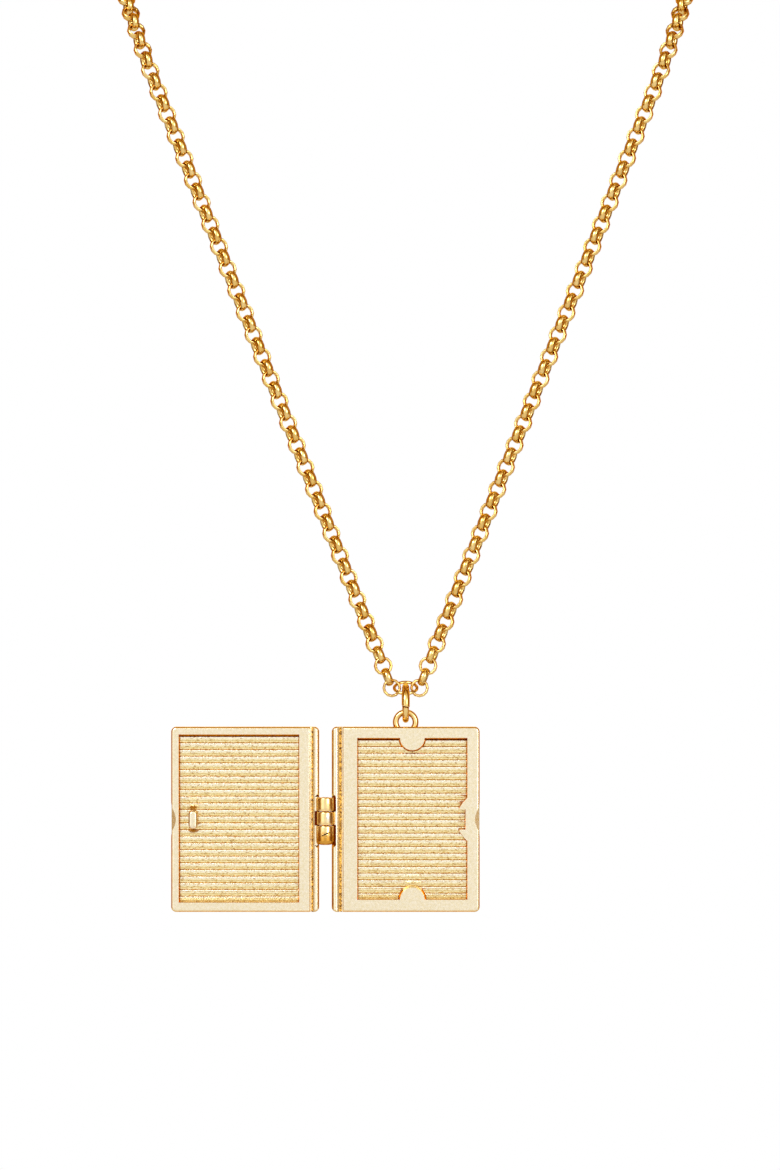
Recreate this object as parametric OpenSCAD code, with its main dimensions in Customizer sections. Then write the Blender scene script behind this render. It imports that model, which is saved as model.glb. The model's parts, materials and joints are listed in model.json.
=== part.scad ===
// Book locket necklace: a rectangular locket hinged like a book, hanging open flat
// from a round-link chain by one jump ring.
// Millimetres. +X is to the right as seen from the front, +Y goes back, +Z goes up.
// The origin is the middle of the clasp at the nape, where the necklace hangs.

/* [Locket leaves] */
// Width of each leaf, from spine edge to outer edge
leaf_w = 23.5; // [21:0.1:26]
// Height of each leaf
leaf_h = 29.4; // [27:0.1:32]
// Thickness of each leaf
leaf_t = 2.4; // [2.2:0.1:3]
// Radius of the leaf's corners, seen from the front
corner_r = 0.8; // [0.4:0.1:1.2]
// Bevel round the inner face
face_bevel = 0.15; // [0.05:0.05:0.3]
// Bevel round the outer face
cover_bevel = 0.5; // [0.2:0.1:0.7]

/* [Recesses] */
// Depth of the picture recess in each leaf
recess_d = 1.3; // [1:0.05:1.5]
// Spacing of the raised ribs on the recess floor
rib_pitch = 1.06; // [0.9:0.01:1.3]
// Width of a rib's flat top
rib_top = 0.28; // [0.2:0.02:0.4]
// Width of a rib at its foot
rib_foot = 0.62; // [0.5:0.02:0.8]
// Height of a rib
rib_h = 0.2; // [0.1:0.05:0.3]
// Radius of the two round tabs that hold a picture
tab_r = 1.95; // [1.5:0.05:2.5]

/* [Thumb notches and catch] */
// Half the length of the thumb notch in the outer edge
notch_half = 2.9; // [2:0.1:3.5]
// How far the thumb notch cuts in
notch_in = 0.75; // [0.4:0.05:0.9]
// Width of the catch post
post_w = 1.4; // [1:0.1:1.6]
// Height of the catch post, along the spine
post_h = 2.9; // [2.5:0.1:3]
// How far the post stands out of the inner face
post_proud = 0.85; // [0.5:0.05:0.95]
// Distance of the post's middle from the hinge axis
post_reach = 21; // [20.6:0.1:21.4]

/* [Hinge] */
// Outer radius of the hinge barrel
barrel_r = 1.4; // [1.2:0.05:1.5]
// Radius of the hinge pin
pin_r = 0.5; // [0.4:0.05:0.6]
// Distance from the hinge axis to each spine edge
spine_reach = 1; // [0.9:0.05:1.1]

/* [Eyelet and jump ring] */
// Mid-wire radius of the eyelet on the back leaf
eyelet_r = 1.575; // [1.5:0.025:1.7]
// Wire diameter of the eyelet
eyelet_wire = 0.95; // [0.8:0.05:1]
// Outer diameter of the jump ring
ring_d = 6.3; // [6:0.1:6.6]
// Wire diameter of the jump ring
ring_wire = 1.1; // [1:0.05:1.15]

/* [Chain] */
// Outer diameter of a link
link_d = 3; // [2.9:0.05:3.1]
// Thickness of a link's band, across the chain's hole
link_t = 0.49; // [0.4:0.01:0.5]
// Breadth of a link's band, along the link's own axis
link_w = 1.15; // [0.7:0.05:1.15]
// Distance between the middles of two links
link_pitch = 1.89; // [1.84:0.01:1.9]
// Number of links on each side, without the bottom link
side_links = 117; // [100:1:119]
// Outer diameter of the bottom link, which carries the jump ring
bottom_link_d = 4.1; // [3.9:0.1:4.2]
// Breadth of the bottom link's band
bottom_link_w = 0.6; // [0.5:0.05:0.7]
// Angle of each strand from the vertical, in front
strand_angle = 21.4; // [18:0.2:24]
// Length of each strand's straight front run
front_run = 101; // [90:1:105]
// Radius of the bend over the shoulder
shoulder_r = 26; // [22:1:30]
// Rise of the chain from the shoulder to the nape, in degrees
neck_rise = 14; // [8:1:18]
// Turn of the links about the chain's own line, in degrees
link_turn = 24; // [12:1:26]

/* [Clasp] */
// Length of the clasp's barrel
clasp_l = 9; // [8:0.5:11]
// Radius of the clasp's barrel
clasp_r = 2.1; // [1.8:0.1:2.6]

/* [Hidden] */

satin_gold = "#F3DFA8";
polished_gold = "#E0A94C";

// Play between the two inner faces when the locket is shut, half on each side
face_gap = 0.04;
// Running clearance round the pin
pin_play = 0.05;
// Clearance of a barrel from the leaf that it turns in
scoop_play = 0.3;
// End gap between two barrel pieces
end_gap = 0.1;
// Clear space kept between pieces that only touch on the real necklace
touch_gap = 0.12;
// Reach of a cutting shape past the face that it cuts
over = 1;

// Widths across each leaf from the spine edge: bead, groove and strip; then the three rims
BEAD = 0;
GROOVE = 1;
STRIP = 2;
OUTER_RIM = 3;
TOP_RIM = 4;
BOTTOM_RIM = 5;
back_widths = [1.2, 0.7, 2.15, 1.95, 1.75, 1.95];
cover_widths = [1, 0.55, 1.6, 1.2, 1.2, 1.5];
groove_d = 0.45;

// Heights on the hinge axis, counted from the middle of the leaves
barrel_top = 3.5;
barrel_upper_joint = 1.3;
barrel_lower_joint = -0.9;
barrel_bottom = -4;
pin_bottom = -3.1;
pin_top = 3.4;
bore_r = pin_r + pin_play;
scoop_r = barrel_r + scoop_play;
scoop_fade = 0.9;

// The slot between the two catch teeth takes the post
slot_play = 0.15;
slot_half = post_h / 2 + slot_play;
tooth_in = 1.3;
tooth_tip = 0.2;
tooth_run = 1.65;
slot_in = 0.3;

leaf_mid_x = spine_reach + leaf_w / 2;
leaf_back = face_gap + leaf_t;

// The hang: eyelet, jump ring and bottom link, over the middle of the back leaf.
// The hinge axis stands to the left of the middle line by leaf_mid_x.
eyelet_y = 1.4;
eyelet_rise = 0.7;
eyelet_z = leaf_h / 2 + eyelet_rise;
ring_wire_r = ring_wire / 2;
ring_mid_r = ring_d / 2 - ring_wire_r;
ring_foot_z = eyelet_z + eyelet_r - eyelet_wire / 2 - touch_gap - ring_wire_r;
ring_z = ring_foot_z + ring_mid_r;
ring_split = 0.15;
ring_split_drop = 0.45;
ring_split_slant = 13;

// The bottom link leans so that its front wire passes through the jump ring
bottom_lean = 27;
bottom_mid_r = bottom_link_d / 2 - link_t / 2;
bottom_wire_half = link_t / 2 * sin(bottom_lean) + bottom_link_w / 2 * cos(bottom_lean);
bottom_wire_z = ring_z + ring_mid_r - ring_wire_r - touch_gap - bottom_wire_half;
chain_y = eyelet_y + bottom_mid_r * cos(bottom_lean);
bottom_link_z = bottom_wire_z + bottom_mid_r * sin(bottom_lean);

// The first link of each strand, beside the bottom link, faces the front; the next few turn away
first_reach = 2.2;
turn_links = 5;
stretch_links = 8;

function unit(v) = v / norm(v);
function square_to(n, t) = unit(n - (n * t) * t);

// A round bend that leaves along a and curves towards e
function bend_point(a, e, r, phi) = r * (sin(phi) * a + (1 - cos(phi)) * e);
function bend_dir(a, e, phi) = cos(phi) * a + sin(phi) * e;
function bend_length(r, phi) = r * phi * PI / 180;

// Directions of the right strand: up the front, back over the shoulder, across the nape
front_dir = [sin(strand_angle), 0, cos(strand_angle)];
side_dir = [0, cos(neck_rise), sin(neck_rise)];
nape_dir = [-1, 0, 0];
shoulder_phi = acos(front_dir * side_dir);
shoulder_e = square_to(side_dir, front_dir);
nape_phi = 90;
nape_run = 10;

// The clasp's eyes, and how far the last link's middle lies from the clasp's middle
eye_wire_r = 0.4;
eye_r = 1.5;
eye_x = clasp_l / 2 + eye_r - eye_wire_r;
clasp_cone = 1;
last_link_x = eye_x + eye_r - eye_wire_r + link_d / 2 - link_t - 2 * touch_gap;

// The right strand's line: straight, shoulder bend, straight, nape bend, straight
line_start = [first_reach, chain_y, bottom_link_z];
front_end = line_start + front_run * front_dir;
shoulder_end = front_end + bend_point(front_dir, shoulder_e, shoulder_r, shoulder_phi);
nape_r = shoulder_end.x - nape_run;
line_length = (side_links - 1) * link_pitch + last_link_x;
at_shoulder = front_run;
at_side = at_shoulder + bend_length(shoulder_r, shoulder_phi);
at_nape_run = line_length - nape_run;
at_nape = at_nape_run - bend_length(nape_r, nape_phi);
side_end = shoulder_end + (at_nape - at_side) * side_dir;
nape_start = side_end + bend_point(side_dir, nape_dir, nape_r, nape_phi);
nape = [0, nape_start.y, nape_start.z];

function degrees_on(length, r) = length / r * 180 / PI;
function line_point(s) =
    s < at_shoulder ? line_start + s * front_dir
    : s < at_side ? front_end + bend_point(front_dir, shoulder_e, shoulder_r, degrees_on(s - at_shoulder, shoulder_r))
    : s < at_nape ? shoulder_end + (s - at_side) * side_dir
    : s < at_nape_run ? side_end + bend_point(side_dir, nape_dir, nape_r, degrees_on(s - at_nape, nape_r))
    : nape_start + (s - at_nape_run) * nape_dir;
function line_dir(s) =
    s < at_shoulder ? front_dir
    : s < at_side ? bend_dir(front_dir, shoulder_e, degrees_on(s - at_shoulder, shoulder_r))
    : s < at_nape ? side_dir
    : s < at_nape_run ? bend_dir(side_dir, nape_dir, degrees_on(s - at_nape, nape_r))
    : nape_dir;

// A direction square to the line, carried along it without twist
carried = [for (i = 0, n = [0, -1, 0]; i <= side_links; i = i + 1,
    n = square_to(n, line_dir(min(i * link_pitch, line_length)))) n];
function turn_at(i) = link_turn * min(1, i / turn_links);
function link_axis(i) =
    let (t = line_dir(i * link_pitch), n = square_to(carried[i], t), a = 90 * (i % 2) - turn_at(i))
    cos(a) * n + sin(a) * cross(t, n);

// Moves a shape to point p, with its x along t and its z along n
module placed(p, t, n) {
    v = cross(n, t);
    multmatrix([
        [t.x, v.x, n.x, p.x],
        [t.y, v.y, n.y, p.y],
        [t.z, v.z, n.z, p.z],
        [0, 0, 0, 1]
    ]) children();
}

// From the locket's frame (middle of the back leaf, inner face) to the nape
module hung() translate(-nape) children();

// From the hinge axis to the locket's frame
module at_hinge() translate([-leaf_mid_x, 0, 0]) children();

// Extrudes an outline drawn in x and z from y = front to y = back
module from_front(front, back) {
    translate([0, back, 0]) rotate([90, 0, 0]) linear_extrude(back - front) children();
}

// Extrudes a section drawn in y and z along x
module along_x(from, to) {
    translate([from, 0, 0]) rotate([90, 0, 90]) linear_extrude(to - from) children();
}

// Points of a rectangle with round corners, five steps to a corner
function round_rect(w, h, r) = [
    for (c = [[1, 1, 0], [-1, 1, 90], [-1, -1, 180], [1, -1, 270]], k = [0:5])
        [c.x * (w / 2 - r) + r * cos(c.z + 18 * k), c.y * (h / 2 - r) + r * sin(c.z + 18 * k)]
];

// Section of a leaf in x and y: half-round bead at the spine, groove, flat face, bevels
function leaf_section(widths) =
    let (r = widths[BEAD] / 2, g0 = widths[BEAD], g1 = g0 + widths[GROOVE])
    [
        for (a = [180:-30:30]) [spine_reach + r + r * cos(a), face_gap + r - r * sin(a)],
        [spine_reach + g0, face_gap + groove_d],
        [spine_reach + g1 - 0.12, face_gap + groove_d],
        [spine_reach + g1, face_gap],
        [spine_reach + leaf_w - face_bevel, face_gap],
        [spine_reach + leaf_w, face_gap + face_bevel],
        [spine_reach + leaf_w, leaf_back - cover_bevel],
        [spine_reach + leaf_w - cover_bevel, leaf_back],
        [spine_reach + cover_bevel, leaf_back],
        [spine_reach, leaf_back - cover_bevel]
    ];

// Section of a leaf in y and z: bevels at its top and bottom edges
leaf_side = [
    [face_gap, leaf_h / 2 - face_bevel],
    [face_gap + face_bevel, leaf_h / 2],
    [leaf_back - cover_bevel, leaf_h / 2],
    [leaf_back, leaf_h / 2 - cover_bevel],
    [leaf_back, cover_bevel - leaf_h / 2],
    [leaf_back - cover_bevel, -leaf_h / 2],
    [face_gap + face_bevel, -leaf_h / 2],
    [face_gap, face_bevel - leaf_h / 2]
];

module leaf_blank(widths) {
    intersection() {
        translate([0, 0, -leaf_h / 2]) linear_extrude(leaf_h) polygon(leaf_section(widths));
        along_x(0, leaf_w + 2 * spine_reach) polygon(leaf_side);
        from_front(0, leaf_back + over) translate([leaf_mid_x, 0]) polygon(round_rect(leaf_w, leaf_h, corner_r));
    }
}

function recess_left(widths) = spine_reach + widths[BEAD] + widths[GROOVE] + widths[STRIP];
function recess_right(widths) = spine_reach + leaf_w - widths[OUTER_RIM];
function recess_low(widths) = widths[BOTTOM_RIM] - leaf_h / 2;
function recess_high(widths) = leaf_h / 2 - widths[TOP_RIM];

module recess_outline(widths) {
    translate([recess_left(widths), recess_low(widths)])
        square([recess_right(widths) - recess_left(widths), recess_high(widths) - recess_low(widths)]);
}

// The space over a ribbed floor, in y and z
function over_ribs(widths) =
    let (low = recess_low(widths), high = recess_high(widths), floor_y = face_gap + recess_d,
        count = floor((high - low) / rib_pitch), first = (low + high - (count - 1) * rib_pitch) / 2)
    [
        [-over, low - over],
        [floor_y, low - over],
        for (i = [0:count - 1], step = [[-rib_foot, 0], [-rib_top, rib_h], [rib_top, rib_h], [rib_foot, 0]])
            [floor_y - step[1], first + i * rib_pitch + step[0] / 2],
        [floor_y, high + over],
        [-over, high + over]
    ];

module ribbed_recess(widths) {
    intersection() {
        from_front(-over, leaf_back) children();
        along_x(recess_left(widths) - over, recess_right(widths) + over) polygon(over_ribs(widths));
    }
}

// Thumb notch in the outer edge: a smooth dip cut from the inner face, with the outer plate left behind
module thumb_notch() {
    edge = spine_reach + leaf_w;
    from_front(-over, face_gap + recess_d) polygon([
        [edge + over, -notch_half],
        for (k = [-8:8]) [edge - notch_in * (1 + cos(180 * k / 8)) / 2, notch_half * k / 8],
        [edge + over, notch_half]
    ]);
}

// Shape turned about the hinge axis that keeps a leaf clear of the other leaf's barrel
module scoop(low, high) {
    translate([0, 0, low]) cylinder(r = scoop_r, h = high - low, $fn = 48);
}

// Hollows above and below the barrel, which fade out along the spine bead
module scoop_ends() {
    for (side = [1, -1])
        translate([0, 0, side > 0 ? barrel_top + end_gap : barrel_bottom - end_gap - scoop_fade])
            cylinder(
                r1 = side > 0 ? scoop_r : scoop_r - scoop_fade,
                r2 = side > 0 ? scoop_r - scoop_fade : scoop_r,
                h = scoop_fade,
                $fn = 48
            );
}

// One barrel piece with its bore
module barrel(low, high, bore_from) {
    difference() {
        translate([0, 0, low]) cylinder(r = barrel_r, h = high - low, $fn = 48);
        translate([0, 0, bore_from]) cylinder(r = bore_r, h = high - bore_from + over, $fn = 48);
    }
}

// The lowest barrel piece has a closed, rounded foot
module barrel_foot(high) {
    difference() {
        rotate_extrude($fn = 48) polygon([
            [0, barrel_bottom],
            for (a = [0:15:90]) [barrel_r - 0.7 + 0.7 * sin(a), barrel_bottom + 0.7 * (1 - cos(a))],
            [barrel_r, high],
            [0, high]
        ]);
        translate([0, 0, pin_bottom - end_gap]) cylinder(r = bore_r, h = high - pin_bottom + over, $fn = 48);
    }
}

// Solder web behind a barrel piece, on its own leaf's side, clear of the bore
module web(low, high) {
    translate([bore_r + 0.15, 0.3, low]) cube([spine_reach + 0.2, 1, high - low]);
}

// Tabs at the top and bottom of the back leaf's recess
module tabs() {
    mid_x = (recess_left(back_widths) + recess_right(back_widths)) / 2;
    for (z = [recess_low(back_widths), recess_high(back_widths)])
        translate([mid_x, z]) circle(r = tab_r, $fn = 48);
}

// Two catch teeth at the outer side of the back leaf's recess, one each side of the post's slot
module teeth() {
    wall = recess_right(back_widths);
    polygon([
        [wall + over, slot_half + tooth_tip + tooth_run],
        [wall, slot_half + tooth_tip + tooth_run],
        [wall - tooth_in, slot_half + tooth_tip],
        [wall - tooth_in + 0.15, slot_half],
        [wall - slot_in, slot_half],
        [wall - slot_in, -slot_half],
        [wall - tooth_in + 0.15, -slot_half],
        [wall - tooth_in, -slot_half - tooth_tip],
        [wall, -slot_half - tooth_tip - tooth_run],
        [wall + over, -slot_half - tooth_tip - tooth_run]
    ]);
}

// Raised post on the cover, which snaps between the catch teeth
module post() {
    floor_y = face_gap + recess_d + 0.3;
    shoulder = 0.15;
    translate([post_reach, 0, 0]) {
        from_front(shoulder - post_proud, floor_y) polygon(round_rect(post_w, post_h, 0.5));
        from_front(-post_proud, floor_y)
            polygon(round_rect(post_w - 2 * shoulder, post_h - 2 * shoulder, 0.5 - shoulder));
    }
}

module eyelet() {
    translate([leaf_mid_x, eyelet_y, eyelet_z]) rotate([90, 0, 0])
        rotate_extrude($fn = 60) translate([eyelet_r, 0]) circle(d = eyelet_wire, $fn = 30);
}

module back_half() {
    color(satin_gold) hung() at_hinge() {
        difference() {
            leaf_blank(back_widths);
            ribbed_recess(back_widths) difference() {
                recess_outline(back_widths);
                tabs();
                teeth();
            }
            thumb_notch();
            scoop(barrel_upper_joint - end_gap / 2, barrel_top + end_gap);
            scoop(barrel_bottom - end_gap, barrel_lower_joint + end_gap / 2);
            scoop_ends();
        }
        barrel(barrel_lower_joint + end_gap / 2, barrel_upper_joint - end_gap / 2, barrel_lower_joint - over);
        web(barrel_lower_joint + end_gap / 2, barrel_upper_joint - end_gap / 2);
        eyelet();
    }
}

module cover() {
    color(satin_gold) hung() at_hinge() mirror([1, 0, 0]) {
        difference() {
            leaf_blank(cover_widths);
            ribbed_recess(cover_widths) recess_outline(cover_widths);
            thumb_notch();
            scoop(barrel_lower_joint - end_gap / 2, barrel_upper_joint + end_gap / 2);
            scoop_ends();
        }
        barrel(barrel_upper_joint + end_gap / 2, barrel_top, barrel_upper_joint - over);
        barrel_foot(barrel_lower_joint - end_gap / 2);
        web(barrel_upper_joint + end_gap / 2, barrel_top);
        web(pin_bottom, barrel_lower_joint - end_gap / 2);
        post();
    }
}

module hinge_pin() {
    color(polished_gold) hung() at_hinge()
        translate([0, 0, pin_bottom]) cylinder(r = pin_r, h = pin_top - pin_bottom, $fn = 48);
}

// Open wire ring, butt cut at the front
module jump_ring() {
    color(polished_gold) hung() translate([0, eyelet_y, ring_z]) difference() {
        rotate([0, 90, 0]) rotate_extrude($fn = 96) translate([ring_mid_r, 0]) circle(r = ring_wire_r, $fn = 36);
        translate([0, -ring_mid_r, -ring_split_drop]) rotate([0, ring_split_slant, 0])
            cube([2 * ring_wire, 2 * ring_wire, ring_split], center = true);
    }
}

// Half section of a link's band, in shares of its thickness and breadth: inside first, full outside
link_half = [[-0.42, 0.19], [0.1, 0.5], [0.5, 0.15]];

// One chain link: a round band of breadth w, its axis along z
module link(d, w) {
    rotate_extrude($fn = 36) translate([(d - link_t) / 2, 0]) polygon([
        for (p = link_half) [p.x * link_t, p.y * w],
        for (i = [len(link_half) - 1:-1:0]) [link_half[i].x * link_t, -link_half[i].y * w]
    ]);
}

// The links are joined in short stretches first, and then the stretches
module strand() {
    for (first = [0:stretch_links:side_links - 1]) union()
        for (i = [first:min(first + stretch_links, side_links) - 1])
            placed(line_point(i * link_pitch), line_dir(i * link_pitch), link_axis(i)) link(link_d, link_w);
}

module chain() {
    color(polished_gold) hung() {
        placed([0, chain_y, bottom_link_z], [1, 0, 0], [0, -sin(bottom_lean), cos(bottom_lean)])
            link(bottom_link_d, bottom_link_w);
        strand();
        mirror([1, 0, 0]) strand();
    }
}

// Plain barrel clasp with an eye at each end, its middle at the origin
module clasp() {
    eye_axis = link_axis(side_links);
    color(polished_gold) {
        rotate([0, 90, 0]) rotate_extrude($fn = 48) polygon([
            [0, -clasp_l / 2],
            [clasp_r - clasp_cone, -clasp_l / 2],
            [clasp_r, clasp_cone - clasp_l / 2],
            [clasp_r, clasp_l / 2 - clasp_cone],
            [clasp_r - clasp_cone, clasp_l / 2],
            [0, clasp_l / 2]
        ]);
        for (side = [1, -1])
            placed([side * eye_x, 0, 0], [side, 0, 0], eye_axis)
                rotate_extrude($fn = 48) translate([eye_r, 0]) circle(r = eye_wire_r, $fn = 24);
    }
}

cover();
back_half();
hinge_pin();
jump_ring();
chain();
clasp();
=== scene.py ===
import json
import math

import bmesh
import bpy
import numpy as np
from mathutils import Matrix, Vector


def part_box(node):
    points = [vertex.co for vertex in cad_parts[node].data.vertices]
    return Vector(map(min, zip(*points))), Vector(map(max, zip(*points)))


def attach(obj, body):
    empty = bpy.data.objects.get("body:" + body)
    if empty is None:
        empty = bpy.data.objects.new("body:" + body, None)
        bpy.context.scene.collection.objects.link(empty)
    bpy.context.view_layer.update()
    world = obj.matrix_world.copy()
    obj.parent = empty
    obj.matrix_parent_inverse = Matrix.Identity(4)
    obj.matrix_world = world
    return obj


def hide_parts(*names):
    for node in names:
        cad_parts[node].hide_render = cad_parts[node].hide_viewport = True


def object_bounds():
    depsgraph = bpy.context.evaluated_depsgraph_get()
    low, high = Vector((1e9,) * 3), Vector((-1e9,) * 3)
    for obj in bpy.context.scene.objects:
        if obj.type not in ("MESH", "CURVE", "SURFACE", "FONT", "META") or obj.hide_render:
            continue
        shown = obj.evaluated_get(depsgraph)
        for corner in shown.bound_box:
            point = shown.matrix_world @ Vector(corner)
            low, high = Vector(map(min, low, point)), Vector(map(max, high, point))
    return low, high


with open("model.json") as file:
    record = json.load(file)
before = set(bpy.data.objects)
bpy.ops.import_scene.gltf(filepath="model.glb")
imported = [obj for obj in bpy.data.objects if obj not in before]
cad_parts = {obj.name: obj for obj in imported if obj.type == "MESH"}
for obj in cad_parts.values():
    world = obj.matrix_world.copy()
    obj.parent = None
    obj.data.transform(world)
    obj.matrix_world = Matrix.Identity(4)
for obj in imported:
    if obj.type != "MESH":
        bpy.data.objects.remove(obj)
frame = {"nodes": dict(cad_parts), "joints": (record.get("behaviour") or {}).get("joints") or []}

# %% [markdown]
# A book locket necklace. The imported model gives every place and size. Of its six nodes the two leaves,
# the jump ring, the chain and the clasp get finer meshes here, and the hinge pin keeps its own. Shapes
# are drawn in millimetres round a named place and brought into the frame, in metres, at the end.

cad_low, cad_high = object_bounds()
METRES = 0.001
UP = Vector((0, 0, 1))
ACROSS = Vector((1, 0, 0))
BACK = Vector((0, 1, 0))
joint_place = {joint["name"]: Vector(joint["pos_m"]) / METRES for joint in frame["joints"]}
hinge = joint_place["cover_hinge"]
eye_pivot = joint_place["locket_swing"]
print("hinge axis at", [round(v, 2) for v in hinge], "mm")

# %% [markdown]
# The camera. The photograph looks straight at the open locket, along +Y. A chain link that is 3 mm
# across is 18.9 pixels wide there, which sets the scale. A long lens from 600 mm away keeps the leaves
# square, as they are in the photograph, and leaves the nape of the necklace above the picture.

# %% Camera
PHOTO_W, PHOTO_H = 780, 1170
PIXELS_PER_MM = 6.3
LOCKET_PIXEL = (405.7, 819.5)
CAMERA_DISTANCE = 600
SENSOR = 36
LEAF_MID = 12.75

camera_x = hinge.x + LEAF_MID + (PHOTO_W / 2 - LOCKET_PIXEL[0]) / PIXELS_PER_MM
camera_z = hinge.z + (LOCKET_PIXEL[1] - PHOTO_H / 2) / PIXELS_PER_MM
camera_data = bpy.data.cameras.new("camera")
camera_data.sensor_width = SENSOR
camera_data.lens = SENSOR * CAMERA_DISTANCE / (PHOTO_H / PIXELS_PER_MM)
camera_data.clip_start = 0.05
camera = bpy.data.objects.new("camera", camera_data)
camera.location = Vector((camera_x, hinge.y - CAMERA_DISTANCE, camera_z)) * METRES
camera.rotation_euler = (math.radians(90), 0, 0)
bpy.context.collection.objects.link(camera)
bpy.context.scene.camera = camera
bpy.context.scene.view_settings.view_transform = "Standard"
print("lens", round(camera_data.lens, 1), "mm")

# %% [markdown]
# The studio. Polished gold has almost no shade of its own: it shows what is round it. Jewellery is
# lit from the front and from behind with large white sheets, with darker, warmer room to the sides and
# overhead, so a round wire gets a bright middle, an amber band beside it and an amber outline. Cards
# and lamps could be set round it, but they would be many. The sky is such a room, drawn with two ramps:
# one goes round from the front to the back, one from the floor to the ceiling. The camera itself sees
# plain white.
# Colours are hex values, as an eye reads them, and one function turns them to linear light. The floor
# is pale paper, tinted cool and with a little light of its own, so it stays white under a warm sky.

# %% Node helper, colours, sky and lights
def linear(hex_colour):
    """Turns an sRGB hex value to the linear colour that a shader works in."""
    channels = [int(hex_colour[i:i + 2], 16) / 255 for i in (1, 3, 5)]
    return (*[c / 12.92 if c <= 0.04045 else ((c + 0.055) / 1.055) ** 2.4 for c in channels], 1)


def add_node(tree, kind, settings=(), links=()):
    """Adds one node, sets its properties or sockets, and joins sockets to what feeds them."""
    node = tree.nodes.new(kind)
    for key, value in dict(settings).items():
        if isinstance(key, str) and hasattr(node, key):
            setattr(node, key, value)
        else:
            node.inputs[key].default_value = value
    for key, source in dict(links).items():
        tree.links.new(source, node.inputs[key])
    return node


def ramp(tree, share, stops):
    """A Color Ramp along a share from 0 to 1, from its stops of place and hex colour."""
    node = add_node(tree, "ShaderNodeValToRGB", links={"Fac": share})
    elements = node.color_ramp.elements
    while len(elements) > 1:
        elements.remove(elements[-1])
    elements[0].position, elements[0].color = stops[0][0], linear(stops[0][1])
    for place, colour in stops[1:]:
        elements.new(place).color = linear(colour)
    return node.outputs["Color"]


FRONT_TO_BACK = [(0.0, "#DDDDDB"), (0.08, "#DDDDDB"), (0.13, "#FFFFFF"), (0.27, "#FFFFFF"),
                 (0.33, "#C4A66E"), (0.4, "#80592C"), (0.5, "#7A5222"), (0.62, "#C08838"),
                 (0.86, "#CC9A48"), (0.94, "#FFFFFF"), (1.0, "#FFFFFF")]
FLOOR_TO_CEILING = [(0.0, "#B08A54"), (0.2, "#C8A878"), (0.42, "#FFFFFF"), (0.78, "#FFFFFF"),
                    (0.92, "#D2B078"), (1.0, "#BE924E")]
ROOM_STRENGTH = 1.5

world = bpy.data.worlds.new("studio")
world.use_nodes = True
bpy.context.scene.world = world
sky = world.node_tree
sky.nodes.clear()
direction = add_node(sky, "ShaderNodeTexCoord")
parts = add_node(sky, "ShaderNodeSeparateXYZ", links={0: direction.outputs["Generated"]})
aside = add_node(sky, "ShaderNodeMath", {"operation": "ABSOLUTE"}, {0: parts.outputs["X"]})
ahead = add_node(sky, "ShaderNodeMath", {"operation": "MULTIPLY", 1: -1.0}, {0: parts.outputs["Y"]})
angle = add_node(sky, "ShaderNodeMath", {"operation": "ARCTAN2"},
                 {0: aside.outputs[0], 1: ahead.outputs[0]})
round_share = add_node(sky, "ShaderNodeMath", {"operation": "DIVIDE", 1: math.pi}, {0: angle.outputs[0]})
height = add_node(sky, "ShaderNodeMath", {"operation": "MULTIPLY_ADD", 1: 0.5, 2: 0.5},
                  {0: parts.outputs["Z"]})
room = add_node(sky, "ShaderNodeMix", {"data_type": "RGBA", "blend_type": "MULTIPLY", "Factor": 1.0},
                {6: ramp(sky, round_share.outputs[0], FRONT_TO_BACK),
                 7: ramp(sky, height.outputs[0], FLOOR_TO_CEILING)})
room_light = add_node(sky, "ShaderNodeBackground", {"Strength": ROOM_STRENGTH}, {"Color": room.outputs[2]})
backdrop = add_node(sky, "ShaderNodeBackground", {"Color": (1, 1, 1, 1), "Strength": 1.0})
who_looks = add_node(sky, "ShaderNodeLightPath")
sky_mix = add_node(sky, "ShaderNodeMixShader", links={0: who_looks.outputs["Is Camera Ray"],
                                                      1: room_light.outputs[0], 2: backdrop.outputs[0]})
add_node(sky, "ShaderNodeOutputWorld", links={"Surface": sky_mix.outputs[0]})


def softbox(name, at, size, watts):
    """A square light that faces the locket, its place in millimetres from the hinge."""
    data = bpy.data.lights.new(name, "AREA")
    data.size = size * METRES
    data.energy = watts
    light = bpy.data.objects.new(name, data)
    light.location = (hinge + Vector(at)) * METRES
    light.rotation_euler = (-Vector(at)).to_track_quat("-Z", "Y").to_euler()
    bpy.context.collection.objects.link(light)


softbox("key_softbox", (-350, -600, 450), 350, 3.0)
softbox("fill_softbox", (450, -650, 150), 300, 1.5)

FLOOR_DROP = 280
FLOOR_RADIUS = 1150
floor_bm = bmesh.new()
bmesh.ops.create_circle(floor_bm, cap_ends=True, segments=96, radius=FLOOR_RADIUS * METRES)
bmesh.ops.translate(floor_bm, verts=floor_bm.verts, vec=(0, 0, cad_low.z - FLOOR_DROP * METRES))
floor_mesh = bpy.data.meshes.new("floor")
floor_bm.to_mesh(floor_mesh)
floor_bm.free()
floor = bpy.data.objects.new("floor", floor_mesh)
bpy.context.collection.objects.link(floor)
paper = bpy.data.materials.new("pale_paper")
paper.use_nodes = True
paper_look = paper.node_tree.nodes["Principled BSDF"].inputs
PAPER_TINT, PAPER_ROUGHNESS = (0.55, 0.58, 0.6, 1), 0.9
PAPER_GLOW, PAPER_GLOW_STRENGTH = (0.85, 0.92, 1.0, 1), 0.45
paper_look["Base Color"].default_value = PAPER_TINT
paper_look["Roughness"].default_value = PAPER_ROUGHNESS
paper_look["Emission Color"].default_value = PAPER_GLOW
paper_look["Emission Strength"].default_value = PAPER_GLOW_STRENGTH
floor_mesh.materials.append(paper)
print("studio: sky, two softboxes and a pale floor")

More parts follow.
